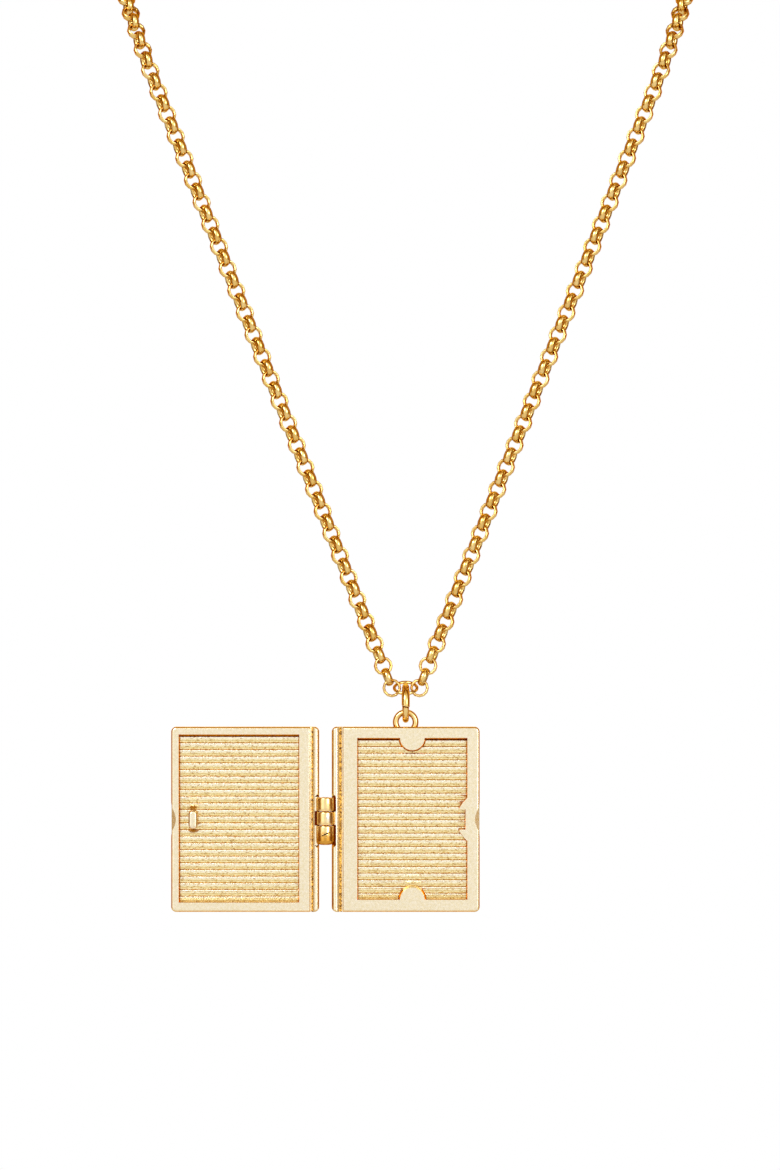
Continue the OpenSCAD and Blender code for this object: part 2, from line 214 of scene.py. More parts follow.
# %% [markdown]
# The finishes. All of it is brass under gold plate. The leaves are satin: fine blasting scatters the
# light, so a flat rim shows a pale champagne tone with a fine grain. Chain, rings and hinge are
# polished, deeper in tone and full of reflections. Where gold faces gold, light bounces between them
# and each bounce deepens it, from amber to red-brown, and here that shade is painted into the colour:
# the Ambient Occlusion node tells how closed in a spot is, and a ramp turns that into these tones of
# painted shade. The walls of the sunk panels get painted shade that darkens with their depth.
# Seen at a grazing angle a metal turns white in the shader, and gold stays warm: Specular Tint says so.
# The grain could be a painted map, but noise on Object coordinates has no seams and fits any size.

# %% Gold finishes
FACE_GAP = 0.04
RECESS_D = 1.3


def per_metre(millimetres):
    """The noise scale that gives grains of this size on Object coordinates."""
    return 1 / (millimetres * METRES)


GRAZING_TONE = "#E6B868"
# Painted shade: these tones darken the colour where a spot is closed in.
CREVICE_PAINTED_SHADE_TONES = [(0.0, "#B4662A"), (0.18, "#CC8438"), (0.36, "#EAB866"), (0.52, "#FCEBC0"),
                 (0.66, "#FFFFFF")]
MARK_GRAIN, MARK_INSIDE, MARK_OUTSIDE = 0.18, 0.85, 1.15


def noise(tree, where, grain_mm, detail=2.0, roughness=0.5, low=0.35, high=0.65):
    """Grain of this size, stretched so that it runs from 0 to 1."""
    grain = add_node(tree, "ShaderNodeTexNoise",
                     {"Scale": per_metre(grain_mm), "Detail": detail, "Roughness": roughness},
                     {"Vector": where})
    return add_node(tree, "ShaderNodeMapRange", {"From Min": low, "From Max": high},
                    {"Value": grain.outputs["Fac"]}).outputs["Result"]


def mixed(tree, share, first, second, blend="MIX"):
    """Mixes two colours, each a socket or a hex value, by a share that is a socket or a number."""
    settings, links = {"data_type": "RGBA", "blend_type": blend}, {}
    for at, value in ((0, share), (6, first), (7, second)):
        if isinstance(value, bpy.types.NodeSocket):
            links[at] = value
        else:
            settings[at] = linear(value) if isinstance(value, str) else value
    return add_node(tree, "ShaderNodeMix", settings, links).outputs[2]


def gold(name, light_tone, deep_tone, roughness, grain_mm, grain_depth_mm, cloud_mm=2.5, painted_shade_reach_mm=0.45):
    """A gold-plated finish: two tones in soft clouds, grain in gloss and relief, and painted shade in
    crevices.
    """
    material = bpy.data.materials.new(name)
    material.use_nodes = True
    tree = material.node_tree
    shader = tree.nodes["Principled BSDF"]
    shader.inputs["Metallic"].default_value = 1.0
    shader.inputs["Specular Tint"].default_value = linear(GRAZING_TONE)
    where = add_node(tree, "ShaderNodeTexCoord").outputs["Object"]
    tone = mixed(tree, noise(tree, where, cloud_mm, 3.0), light_tone, deep_tone)
    # Painted shade: the AO share, through the ramp, darkens the colour in crevices and closed-in spots.
    closed_in = add_node(tree, "ShaderNodeAmbientOcclusion", {"samples": 8, "Distance": painted_shade_reach_mm * METRES})
    shaded = mixed(tree, 1.0, tone, ramp(tree, closed_in.outputs["AO"], CREVICE_PAINTED_SHADE_TONES), "MULTIPLY")
    tree.links.new(shaded, shader.inputs["Base Color"])
    grain = noise(tree, where, grain_mm)
    gloss = add_node(tree, "ShaderNodeMapRange", {"To Min": roughness * 0.8, "To Max": roughness * 1.2},
                     {"Value": grain})
    tree.links.new(gloss.outputs["Result"], shader.inputs["Roughness"])
    relief = add_node(tree, "ShaderNodeBump", {"Strength": 1.0, "Distance": grain_depth_mm * METRES},
                      {"Height": grain})
    tree.links.new(relief.outputs["Normal"], shader.inputs["Normal"])
    return material


def repaint(material, share, colour, blend="MIX"):
    """Lays a colour, a hex value or a socket, over a finish where the share is 1."""
    tree = material.node_tree
    base = tree.nodes["Principled BSDF"].inputs["Base Color"]
    tree.links.new(mixed(tree, share, base.links[0].from_socket, colour, blend), base)


def coordinates(material):
    """The socket that gives a point's place on the piece."""
    return next(node for node in material.node_tree.nodes if node.type == "TEX_COORD").outputs["Object"]


def mark(material, middle, size, turn, fray=0.5):
    """A share that is 1 inside an oval mark with ragged edges, its middle in mm from the hinge axis."""
    tree, where = material.node_tree, coordinates(material)
    oval = add_node(tree, "ShaderNodeMapping", {
        "vector_type": "TEXTURE", "Location": (hinge + Vector(middle)) * METRES,
        "Rotation": (0, math.radians(-turn), 0), "Scale": (size[0] * METRES, 1, size[1] * METRES)},
        {"Vector": where})
    reach = add_node(tree, "ShaderNodeVectorMath", {"operation": "LENGTH"}, {0: oval.outputs["Vector"]})
    ragged = add_node(tree, "ShaderNodeMath", {"operation": "MULTIPLY_ADD", 1: fray},
                      {0: noise(tree, where, MARK_GRAIN), 2: reach.outputs["Value"]})
    inside = add_node(tree, "ShaderNodeMapRange", {
        "From Min": MARK_INSIDE + fray / 2, "From Max": MARK_OUTSIDE + fray / 2,
        "To Min": 1.0, "To Max": 0.0}, {"Value": ragged.outputs[0]})
    return inside.outputs["Result"]


satin_gold = gold("gold_plate_satin", "#EADFC8", "#E2D4B2", 0.26, 0.22, 0.0035, cloud_mm=0.35)
polished_gold = gold("gold_plate_polished", "#E6CC89", "#DBB664", 0.14, 0.4, 0.003)
bright_gold = gold("gold_plate_bright", "#EACE92", "#E2BC70", 0.16, 0.4, 0.003)
# The groove's floor is rough, and its colour is painted darker, amber and brown, as shade in the groove.
rough_groove_shade_gold = gold("gold_plate_in_groove_painted_shade", "#F2BC58", "#5E300A", 0.4, 0.2, 0.02, cloud_mm=0.26)
wall_shade_gold = gold("gold_plate_on_recess_wall_painted_shade", "#FFF4DC", "#D8B078", 0.3, 0.3, 0.006, cloud_mm=0.3)
# Painted shade: a dark brown gold for the hinge hollows and the jump ring's cut.
shaded_gold = gold("gold_plate_painted_slot_shade", "#A8601C", "#6E380C", 0.35, 0.3, 0.004)
hinge_gold = gold("gold_plate_worn_hinge", "#F1D9A2", "#EACB88", 0.14, 0.4, 0.003)
# Painted shade: the barrel's foot is darkened to a deeper amber.
FOOT_PAINTED_SHADE = (0, 0, -3.4), (2.4, 1.2), 0, 1.1
WORN_PATCH = (0.6, 0, 0.3), (0.55, 0.6), 20, 0.9
SCRATCH = (0.05, 0, -2.25), (0.75, 0.1), 26
repaint(hinge_gold, mark(hinge_gold, *FOOT_PAINTED_SHADE), "#CC963E")
repaint(hinge_gold, mark(hinge_gold, *WORN_PATCH), "#CFC2B4")
repaint(hinge_gold, mark(hinge_gold, *SCRATCH), "#2E1404")
# Painted shade on the panel's walls: the colour darkens with depth into the panel.
WALL_PAINTED_SHADE_TONES = [(0.0, "#FFE2A4"), (0.42, "#EEAE42"), (0.62, "#C07420"), (1.0, "#8A4A12")]
depth = add_node(wall_shade_gold.node_tree, "ShaderNodeSeparateXYZ", links={0: coordinates(wall_shade_gold)}).outputs["Y"]
painted_shade_depth = add_node(wall_shade_gold.node_tree, "ShaderNodeMath", {
    "operation": "MULTIPLY_ADD", 1: per_metre(RECESS_D), 2: -(hinge.y + FACE_GAP) / RECESS_D}, {0: depth})
repaint(wall_shade_gold, 1.0, ramp(wall_shade_gold.node_tree, painted_shade_depth.outputs[0], WALL_PAINTED_SHADE_TONES), "MULTIPLY")
finishes = [satin_gold, polished_gold, bright_gold, rough_groove_shade_gold, wall_shade_gold, shaded_gold, hinge_gold]
print("finishes:", [finish.name for finish in finishes])

# %% [markdown]
# Helpers for making pieces. A solid is drawn as an outline, made one face and extruded, or spun from a
# half section. Where two shapes meet it is quickest to cut one with the other, as a mill does, and
# then to break the sharp edges with a small bevel, because a real cast edge always catches light.

# %% Helpers: extrude, spin, carve, soften, finish
def extruded(points, way):
    """A closed solid from an outline of 3-D points, drawn out along the vector way."""
    bm = bmesh.new()
    corners = [bm.verts.new(point) for point in points]
    face = bm.faces.new(corners)
    moved = bmesh.ops.extrude_face_region(bm, geom=[face])["geom"]
    bmesh.ops.translate(bm, verts=[v for v in moved if isinstance(v, bmesh.types.BMVert)], vec=way)
    if len(bm.faces) == len(corners) + 1:
        bm.faces.new(corners)
    bmesh.ops.recalc_face_normals(bm, faces=bm.faces)
    return bm


def spun(section, steps, axis=UP, closed=False):
    """A solid of revolution: the section's points are turned a full circle about the axis through 0."""
    bm = bmesh.new()
    chain_verts = [bm.verts.new(point) for point in section]
    edges = [bm.edges.new(pair) for pair in zip(chain_verts, chain_verts[1:])]
    if closed:
        edges.append(bm.edges.new((chain_verts[-1], chain_verts[0])))
    bmesh.ops.spin(bm, geom=chain_verts + edges, cent=(0, 0, 0), axis=axis, angle=math.tau, steps=steps,
                   use_merge=True)
    bmesh.ops.remove_doubles(bm, verts=bm.verts, dist=1e-5)
    bmesh.ops.recalc_face_normals(bm, faces=bm.faces)
    return bm


def carve(body, tool, operation="DIFFERENCE"):
    """Cuts the tool's shape from the body, or keeps what they share, and returns the result."""
    made = []
    for name, shape in (("carve_body", body), ("carve_tool", tool)):
        mesh = bpy.data.meshes.new(name)
        shape.to_mesh(mesh)
        shape.free()
        obj = bpy.data.objects.new(name, mesh)
        bpy.context.collection.objects.link(obj)
        made.append(obj)
    cut = made[0].modifiers.new("cut", "BOOLEAN")
    cut.operation, cut.object, cut.solver = operation, made[1], "EXACT"
    bpy.context.view_layer.update()
    result = bpy.data.meshes.new_from_object(made[0].evaluated_get(bpy.context.evaluated_depsgraph_get()))
    bm = bmesh.new()
    bm.from_mesh(result)
    for obj in made:
        bpy.data.objects.remove(obj)
    bpy.data.meshes.remove(result)
    bmesh.ops.remove_doubles(bm, verts=bm.verts, dist=1e-4)
    bmesh.ops.dissolve_limit(bm, angle_limit=math.radians(0.2), verts=bm.verts, edges=bm.edges)
    return bm


def soften(bm, width, segments, chosen, least_angle=35):
    """Rounds the chosen edges whose two faces meet at more than the least angle, in degrees."""
    edges = [e for e in bm.edges
             if len(e.link_faces) == 2 and math.degrees(e.calc_face_angle(0)) > least_angle and chosen(e)]
    bmesh.ops.bevel(bm, geom=edges, offset=width, affect="EDGES", segments=segments, profile=0.5, material=-1,
                    clamp_overlap=True)
    return len(edges)


def finish_piece(bm, name, body, materials, stands_for, place=hinge, mirrored=False, sharp=40):
    """Brings a shape in mm to its place in the frame and makes it a piece that rides on a body."""
    if mirrored:
        bmesh.ops.scale(bm, verts=bm.verts, vec=(-1, 1, 1))
    bmesh.ops.transform(bm, matrix=Matrix.Scale(METRES, 4) @ Matrix.Translation(place), verts=bm.verts)
    bmesh.ops.recalc_face_normals(bm, faces=bm.faces)
    mesh = bpy.data.meshes.new(name)
    bm.to_mesh(mesh)
    bm.free()
    for face in mesh.polygons:
        face.use_smooth = True
    mesh.set_sharp_from_angle(angle=math.radians(sharp))
    for material in materials:
        mesh.materials.append(material)
    piece = bpy.data.objects.new(name, mesh)
    bpy.context.collection.objects.link(piece)
    even = piece.modifiers.new("even_shading", "WEIGHTED_NORMAL")
    even.keep_sharp = True
    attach(piece, body)
    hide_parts(stands_for)
    print(f"{name}: {len(mesh.polygons)} faces")
    return piece


# %% [markdown]
# Sizes of a leaf. The two leaves are alike: a flat plate with a half-round bead along the spine, a
# narrow groove beside it and a sunk panel for a picture. They differ in the widths of their borders.
# Heights and widths come from the solid's own box where it gives them. The rest are read off the
# photograph, in mm.

# %% Leaf sizes
back_low, back_high = (Vector(v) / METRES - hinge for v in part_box("back_half"))
SPINE_REACH = 1.0
CORNER_R = 0.8
FACE_EDGE = 0.38
COVER_EDGE = 0.5
GROOVE_D = 0.45
leaf_right = back_high.x
leaf_back = back_high.y
leaf_half = -back_low.z
BACK_WIDTHS = {"bead": 1.2, "groove": 0.7, "strip": 2.15, "outer": 1.95, "top": 1.75, "bottom": 1.95}
COVER_WIDTHS = {"bead": 1.0, "groove": 0.55, "strip": 1.6, "outer": 1.2, "top": 1.2, "bottom": 1.5}


def recess_box(widths):
    """Left, right, low and high sides of a leaf's sunk panel."""
    left = SPINE_REACH + widths["bead"] + widths["groove"] + widths["strip"]
    return left, leaf_right - widths["outer"], widths["bottom"] - leaf_half, leaf_half - widths["top"]


def arc(centre, radius, start, end, steps):
    """Points of a round corner, in degrees."""
    turns = [math.radians(start + (end - start) * k / steps) for k in range(steps + 1)]
    return [(centre[0] + radius * math.cos(a), centre[1] + radius * math.sin(a)) for a in turns]


print("leaf", [round(v, 2) for v in (leaf_right - SPINE_REACH, 2 * leaf_half, leaf_back - FACE_GAP)], "mm")

# %% [markdown]
# A leaf's plate. It could be one box with loops pushed about, but the bead and the groove run its full
# length and the rounded outline runs all round it. So the section is extruded up the leaf, and the
# outline is extruded through it, its edges already rounded. What they share is the plate.

# %% Plate of a leaf
def leaf_section(widths):
    """Bead, groove and flat face, in x and y."""
    r = widths["bead"] / 2
    groove_start = SPINE_REACH + widths["bead"]
    groove_end = groove_start + widths["groove"]
    bead = [(x, 2 * (FACE_GAP + r) - y) for x, y in arc((SPINE_REACH + r, FACE_GAP + r), r, 180, 30, 12)]
    lip = 0.14
    groove = [(groove_start, FACE_GAP + GROOVE_D * 0.85), (groove_start + 0.1, FACE_GAP + GROOVE_D),
              (groove_end - 2 * lip, FACE_GAP + GROOVE_D), (groove_end - lip, FACE_GAP + GROOVE_D * 0.8),
              (groove_end - lip * 0.5, FACE_GAP + 0.08), (groove_end, FACE_GAP + 0.015),
              (groove_end + 0.1, FACE_GAP)]
    rest = [(leaf_right + 1, FACE_GAP), (leaf_right + 1, leaf_back + 1), (SPINE_REACH, leaf_back + 1)]
    return bead + groove + rest


def plate_outline():
    """The leaf's outline with round corners, in x and z."""
    left, right, half, r = SPINE_REACH, leaf_right, leaf_half, CORNER_R
    return (arc((right - r, half - r), r, 0, 90, 8) + arc((left + r, half - r), r, 90, 180, 8)
            + arc((left + r, r - half), r, 180, 270, 8) + arc((right - r, r - half), r, 270, 360, 8))


def leaf_plate(widths):
    """What the extruded section and the extruded outline share."""
    section = extruded([(x, y, -leaf_half - 1) for x, y in leaf_section(widths)], UP * (2 * leaf_half + 2))
    plate = extruded([(x, FACE_GAP, z) for x, z in plate_outline()], BACK * (leaf_back - FACE_GAP))
    soften(plate, FACE_EDGE, 4, lambda e: all(abs(v.co.y - FACE_GAP) < 1e-4 for v in e.verts))
    soften(plate, COVER_EDGE, 5, lambda e: all(abs(v.co.y - leaf_back) < 1e-4 for v in e.verts))
    return carve(section, plate, "INTERSECT")


# %% [markdown]
# The sunk panel and the thumb notch. On the back leaf two round tabs at top and bottom, and two sharp
# teeth at the outer side, reach over the panel: a picture slides under the tabs, and the cover's post
# snaps between the teeth. They could be bars set on the rim, but they are cast in one with it, so the
# tool that cuts the panel has these shapes taken out of it.

# %% Tools for the panel, the notch and the hinge hollows
TURNED_STEPS = 48
TAB_R = 1.95
SLOT_HALF = 1.6
TOOTH_TIP = 0.2
TOOTH_IN = 1.3
TOOTH_RUN = 1.65
SLOT_IN = 0.3
NOTCH_HALF = 2.9
NOTCH_IN = 0.75
NOTCH_D = 1.0
NOTCH_SLOPE = 0.6
PANEL_SINK = 0.2
WALL_LEAN = {"side": 0.2, "low": 0.08, "high": 0.42}
TAB_LEAN, TOOTH_LEAN = 0.3, 0.12


def through(outline, front, back):
    """An outline in x and z as a solid from front to back."""
    return extruded([(x, front, z) for x, z in outline], BACK * (back - front))


def panel_tool(widths, toothed):
    """The sunk panel as a solid to cut away, with the tabs and teeth taken out of it on one leaf."""
    left, right, low, high = recess_box(widths)
    bottom = FACE_GAP + RECESS_D + PANEL_SINK
    tool = through([(left, low), (right, low), (right, high), (left, high)], -1, bottom)
    for vert in tool.verts:
        lean = 1.0 if vert.co.y > 0 else -(1 + FACE_GAP) / (bottom - FACE_GAP)
        vert.co.x += lean * WALL_LEAN["side"] * (1 if vert.co.x < (left + right) / 2 else -1)
        vert.co.z += lean * (WALL_LEAN["low"] if vert.co.z < 0 else -WALL_LEAN["high"])
    if not toothed:
        return tool
    mid = (left + right) / 2
    for z in (low, high):
        tab = through(arc((mid, z), TAB_R, 0, 360 - 360 / TURNED_STEPS, TURNED_STEPS - 1), -2, bottom + 1)
        for vert in tab.verts:
            spread = 1 + TAB_LEAN * (vert.co.y - FACE_GAP) / RECESS_D / TAB_R
            vert.co.x, vert.co.z = mid + (vert.co.x - mid) * spread, z + (vert.co.z - z) * spread
        tool = carve(tool, tab)
    tip = SLOT_HALF + TOOTH_TIP
    half = [(right + 1, tip + TOOTH_RUN), (right, tip + TOOTH_RUN),
            (right - TOOTH_IN * 0.55, tip + TOOTH_RUN * 0.52), (right - TOOTH_IN, tip),
            (right - TOOTH_IN + 0.15, SLOT_HALF), (right - SLOT_IN, SLOT_HALF)]
    teeth = through(half + [(x, -z) for x, z in reversed(half)], -2, bottom + 1)
    for vert in teeth.verts:
        vert.co.x -= TOOTH_LEAN * (vert.co.y - FACE_GAP) / RECESS_D
    return carve(tool, teeth)


def notch_tool():
    """The thumb notch as a solid to cut away: a soft dip in the leaf's side with a sloping floor."""
    shares = [k / 12 for k in range(-12, 13)]
    dip = [(leaf_right - NOTCH_IN * (1 + math.cos(math.pi * s)) / 2, NOTCH_HALF * s) for s in shares]
    outline = [(leaf_right + 1, -NOTCH_HALF)] + dip + [(leaf_right + 1, NOTCH_HALF)]
    tool = through(outline, -1, FACE_GAP + NOTCH_D)
    for vert in tool.verts:
        if vert.co.y > 0:
            vert.co.y += NOTCH_SLOPE * (vert.co.x - leaf_right + NOTCH_IN)
    return tool


BARREL_R = 1.4
BARREL_TOP, UPPER_JOINT, LOWER_JOINT, BARREL_BOTTOM = 3.5, 1.3, -0.9, -4.0
END_GAP = 0.1
SCOOP_R = 1.7
SCOOP_FADE = 0.9


def turned_tool(low, high, low_r=SCOOP_R, high_r=SCOOP_R):
    """A round tool about the hinge axis, which may taper."""
    return spun([(0, 0, low), (low_r, 0, low), (high_r, 0, high), (0, 0, high)], TURNED_STEPS)


print("tools: panel, notch, hinge hollows")

# %% [markdown]
# The ribbed floor. The panel's floor has rows of low ribs. Each has a bright rounded crest, drops
# steeply above into a fine crevice, and below it runs out in a long rough slope. A displaced grid
# would need a great many faces. One section with the same few points for every rib, extruded across
# the panel, gives a clean shape that light can follow.

# %% Ribbed floor
RIB_PITCH = 1.06
RIB_H = 0.2
RIB_SHAPE = [(0.0, 0.12), (0.08, 0.1), (0.2, 0.2), (0.33, 0.3), (0.45, 0.48), (0.53, 0.82), (0.6, 1.0),
             (0.69, 0.98), (0.75, 0.7), (0.8, 0.1), (0.85, 0.0), (0.93, 0.14)]
FLOOR_MARGIN = 0.06


def rib_rows(widths):
    """Number of ribs on a panel, and the height at which the first one starts."""
    _, _, low, high = recess_box(widths)
    count = int((high - low) / RIB_PITCH)
    return count, (low + high - count * RIB_PITCH) / 2


def ribbed_floor(widths):
    """The panel's floor, a little wider than the panel, so that no gap shows at its edges."""
    left, right, low, high = recess_box(widths)
    floor_y = FACE_GAP + RECESS_D
    count, start = rib_rows(widths)
    rows = [(floor_y - RIB_H * rise, start + (row + share) * RIB_PITCH)
            for row in range(-1, count + 1) for share, rise in RIB_SHAPE]
    surface = [(y, z) for y, z in rows if low - FLOOR_MARGIN < z < high + FLOOR_MARGIN]
    under = floor_y + PANEL_SINK + 0.1
    section = [(under, surface[0][1])] + surface + [(under, surface[-1][1])]
    return extruded([(left - FLOOR_MARGIN, y, z) for y, z in section],
                    ACROSS * (right - left + 2 * FLOOR_MARGIN))


# %% [markdown]
# The ribs' finish follows their height on the leaf, so it reads Object coordinates: the height above
# the first rib, divided by the spacing, tells how far up its rib a point is. These bands are painted
# light and shade: going up from a painted highlight on the crest there is painted shade in an amber
# crevice, a beige band, a dull one, and then painted light again. Noise shifts the bands and pits them,
# and it is drawn out along the ribs, the way that the stamping left it.

# %% Finish of the ribs
RIB_PAINTED_LIGHT_BANDS = [(0.0, "#F4E6B6"), (0.1, "#DCC07E"), (0.27, "#F8F0C8"), (0.45, "#FFFFEE"), (0.56, "#FFFFF4"),
             (0.7, "#FFFEF0"), (0.78, "#D0943A"), (0.84, "#DCB05A"), (0.92, "#F8EAC0"), (1.0, "#F4E6B6")]
RIB_PITS = [(0.0, "#8A5418"), (0.13, "#DCB666"), (0.32, "#FFFCEC"), (0.46, "#FFFFFF")]
DRAWN_OUT, BAND_SHIFT, PIT_SHARE = 0.55, 0.14, 0.7


def ribbed_gold(name, widths):
    """Satin finish with painted bands of highlight and shade, and pits, for the panel of these widths."""
    material = gold(name, "#FFFFFF", "#F2F0E2", 0.25, 0.22, 0.011, cloud_mm=0.3, painted_shade_reach_mm=0.2)
    tree, where = material.node_tree, coordinates(material)
    _, start = rib_rows(widths)
    height = add_node(tree, "ShaderNodeSeparateXYZ", links={0: where}).outputs["Z"]
    ribs_up = add_node(tree, "ShaderNodeMath", {"operation": "MULTIPLY_ADD", 1: per_metre(RIB_PITCH),
                                                2: -(hinge.z + start) / RIB_PITCH}, {0: height})
    drawn_out = add_node(tree, "ShaderNodeMapping", {"Scale": (DRAWN_OUT, 1, 1)},
                         {"Vector": where}).outputs["Vector"]
    shift = add_node(tree, "ShaderNodeMath",
                     {"operation": "MULTIPLY_ADD", 1: BAND_SHIFT, 2: -BAND_SHIFT / 2},
                     {0: noise(tree, drawn_out, 0.26, 3.0, 0.7)})
    along = add_node(tree, "ShaderNodeMath", {"operation": "ADD"},
                     {0: ribs_up.outputs[0], 1: shift.outputs[0]})
    share = add_node(tree, "ShaderNodeMath", {"operation": "FRACT"}, {0: along.outputs[0]})
    pits = ramp(tree, noise(tree, drawn_out, 0.2, 2.0, 0.8), RIB_PITS)
    # Painted highlight and shade: the bands multiply the colour by a point's place on its rib.
    repaint(material, 1.0, ramp(tree, share.outputs[0], RIB_PAINTED_LIGHT_BANDS), "MULTIPLY")
    repaint(material, PIT_SHARE, pits, "MULTIPLY")
    return material


# %% [markdown]
# The hinge barrel. Three short tubes stand in line on the pin: the middle one belongs to the back leaf
# and the other two to the cover. They could be cut from cylinders, but a small section spun about the
# pin has clean faces, and its end edges are round from the start. The lowest tube has a closed round
# foot. A web joins each tube to its leaf.

# %% Barrel pieces
BORE_R = 0.55
TUBE_EDGE = 0.2
FOOT_EDGE = 0.7
WEB_LENGTH, WEB_EDGE = 1.2, 0.1
WEB_START = BORE_R + 0.15
WEB_MIDDLE_Y = 0.8
PIN_BOTTOM = -3.1


def tube_section(low, high, foot=False):
    """Half section of a barrel tube, from the bore round the outside."""
    edge = [(BARREL_R - TUBE_EDGE + a, high - TUBE_EDGE + b) for a, b in arc((0, 0), TUBE_EDGE, 0, 90, 3)]
    bore_low = PIN_BOTTOM - END_GAP if foot else low
    inner = [(BORE_R, high), (BORE_R, bore_low)]
    if foot:
        round_end = [(BARREL_R - FOOT_EDGE + a, low + FOOT_EDGE + b)
                     for a, b in arc((0, 0), FOOT_EDGE, -90, 0, 6)]
        return [(x, 0, z) for x, z in [(0, bore_low), (0, low)] + round_end + edge + inner]
    base = [(BARREL_R - TUBE_EDGE + a, low + TUBE_EDGE + b) for a, b in arc((0, 0), TUBE_EDGE, -90, 0, 3)]
    return [(x, 0, z) for x, z in inner[1:] + base + edge + inner[:1]]


def barrel(name, low, high, body, stands_for, mirrored, foot=False):
    """One tube of the hinge and the web that joins it to its leaf."""
    tube = spun(tube_section(low, high, foot), TURNED_STEPS, closed=True)
    finish_piece(tube, name, body, [hinge_gold], stands_for, mirrored=mirrored)
    web_low = PIN_BOTTOM if foot else low
    web = bmesh.new()
    bmesh.ops.create_cube(web, size=1)
    bmesh.ops.scale(web, verts=web.verts, vec=(WEB_LENGTH, 1, high - web_low))
    bmesh.ops.translate(web, verts=web.verts,
                        vec=(WEB_START + WEB_LENGTH / 2, WEB_MIDDLE_Y, (high + web_low) / 2))
    soften(web, WEB_EDGE, 2, lambda e: True)
    finish_piece(web, name + "_web", body, [hinge_gold], stands_for, mirrored=mirrored)


# %% [markdown]
# Now the two leaves. The cover could be a mirrored copy of the back leaf, but its borders are narrower,
# so one function makes both from their own widths. Each leaf's hollows keep clear of the other leaf's
# tubes. Then the edges that the tools left on the inner face are broken with a small round, and each
# face gets its finish by where it lies: the groove is rough with painted shade, the hinge hollows get
# painted shade, the panel's walls get painted shade that deepens with depth, and the leaf's outer sides
# are polished. All other faces are satin.

# %% Leaves
POST_REACH = 21.0
SOLDER_HEIGHT = 1.85
SOLDER_MARK = (0.75, 0.3), 0, 0.8
FACE_ROUND = 0.12
SIDE_ZONE = 0.3
NEAR_GROOVE, NEAR_HOLLOW = 0.04, 0.05
WALL_STEEPNESS, SIDE_STEEPNESS = 0.6, 0.85
SATIN, ROUGH, SHADED, WALL, POLISHED = range(5)


def finish_of(face, widths):
    """Tells which of the leaf's finishes a face has."""
    middle, normal = face.calc_center_median(), face.normal
    from_axis = math.hypot(middle.x, middle.y)
    groove_start = SPINE_REACH + widths["bead"]
    panel_left, panel_right, _, _ = recess_box(widths)
    # Painted shade: the groove's floor gets the rough, darker finish.
    if (groove_start < middle.x < groove_start + widths["groove"] - 0.25
            and abs(middle.y - FACE_GAP - GROOVE_D) < NEAR_GROOVE):
        return ROUGH
    # Painted shade: hinge hollows that face the pin get the dark slot finish.
    if abs(from_axis - SCOOP_R) < NEAR_HOLLOW and normal.xy.dot(middle.xy) < -0.9 * from_axis:
        return SHADED
    # Painted shade: the panel's side and top walls get the wall finish; the bottom wall faces up and stays
    # satin.
    if (panel_left - 0.1 < middle.x < panel_right + 0.1 and middle.y > FACE_GAP + 0.13
            and abs(normal.y) < WALL_STEEPNESS and normal.z < 0.7):
        return WALL
    if abs(normal.y) < SIDE_STEEPNESS and (
            abs(middle.z) > leaf_half - SIDE_ZONE or middle.x > leaf_right - SIDE_ZONE
            or middle.x < SPINE_REACH + SIDE_ZONE):
        return POLISHED
    return SATIN


def make_leaf(name, widths, body, stands_for, toothed, hollows, mirrored):
    """One leaf with its hollows, finishes and ribbed floor."""
    plate = leaf_plate(widths)
    plate = carve(plate, panel_tool(widths, toothed))
    plate = carve(plate, notch_tool())
    for low, high in hollows:
        plate = carve(plate, turned_tool(low, high))
    top, foot = BARREL_TOP + END_GAP, BARREL_BOTTOM - END_GAP
    plate = carve(plate, turned_tool(top, top + SCOOP_FADE, SCOOP_R, SCOOP_R - SCOOP_FADE))
    plate = carve(plate, turned_tool(foot - SCOOP_FADE, foot, SCOOP_R - SCOOP_FADE, SCOOP_R))
    left = SPINE_REACH + widths["bead"] + widths["groove"] + 0.3
    rounded = soften(plate, FACE_ROUND, 3,
                     lambda e: all(abs(v.co.y - FACE_GAP) < 1e-3 and v.co.x > left for v in e.verts))
    plate.normal_update()
    for face in plate.faces:
        face.material_index = finish_of(face, widths)
    counts = [sum(face.material_index == k for face in plate.faces) for k in (ROUGH, SHADED, WALL, POLISHED)]
    print(name, "edges rounded:", rounded, "rough, shaded, wall and polished faces:", counts)
    in_order = [satin_gold, rough_groove_shade_gold, shaded_gold, wall_shade_gold, polished_gold]
    finish_piece(plate, name, body, in_order, stands_for, mirrored=mirrored)
    ribs = ribbed_gold(name + "_ribs_satin_painted_light", widths)
    if not toothed:
        for height in (-SOLDER_HEIGHT, SOLDER_HEIGHT):
            repaint(ribs, mark(ribs, (-POST_REACH, 0, height), *SOLDER_MARK), "#A06A20")
    finish_piece(ribbed_floor(widths), name + "_floor", body, [ribs], stands_for,
                 mirrored=mirrored, sharp=60)


HALF_GAP = END_GAP / 2
for_cover = [(UPPER_JOINT - HALF_GAP, BARREL_TOP + END_GAP),
             (BARREL_BOTTOM - END_GAP, LOWER_JOINT + HALF_GAP)]
for_back = [(LOWER_JOINT - HALF_GAP, UPPER_JOINT + HALF_GAP)]
make_leaf("back_leaf", BACK_WIDTHS, "back", "back_half", True, for_cover, False)
make_leaf("cover_leaf", COVER_WIDTHS, "front", "cover", False, for_back, True)
barrel("barrel_middle", LOWER_JOINT + HALF_GAP, UPPER_JOINT - HALF_GAP, "back", "back_half", False)
barrel("barrel_top", UPPER_JOINT + HALF_GAP, BARREL_TOP, "front", "cover", True)
barrel("barrel_foot", BARREL_BOTTOM, LOWER_JOINT - HALF_GAP, "front", "cover", True, foot=True)
frame["nodes"]["hinge_pin"].data.materials.clear()
frame["nodes"]["hinge_pin"].data.materials.append(polished_gold)

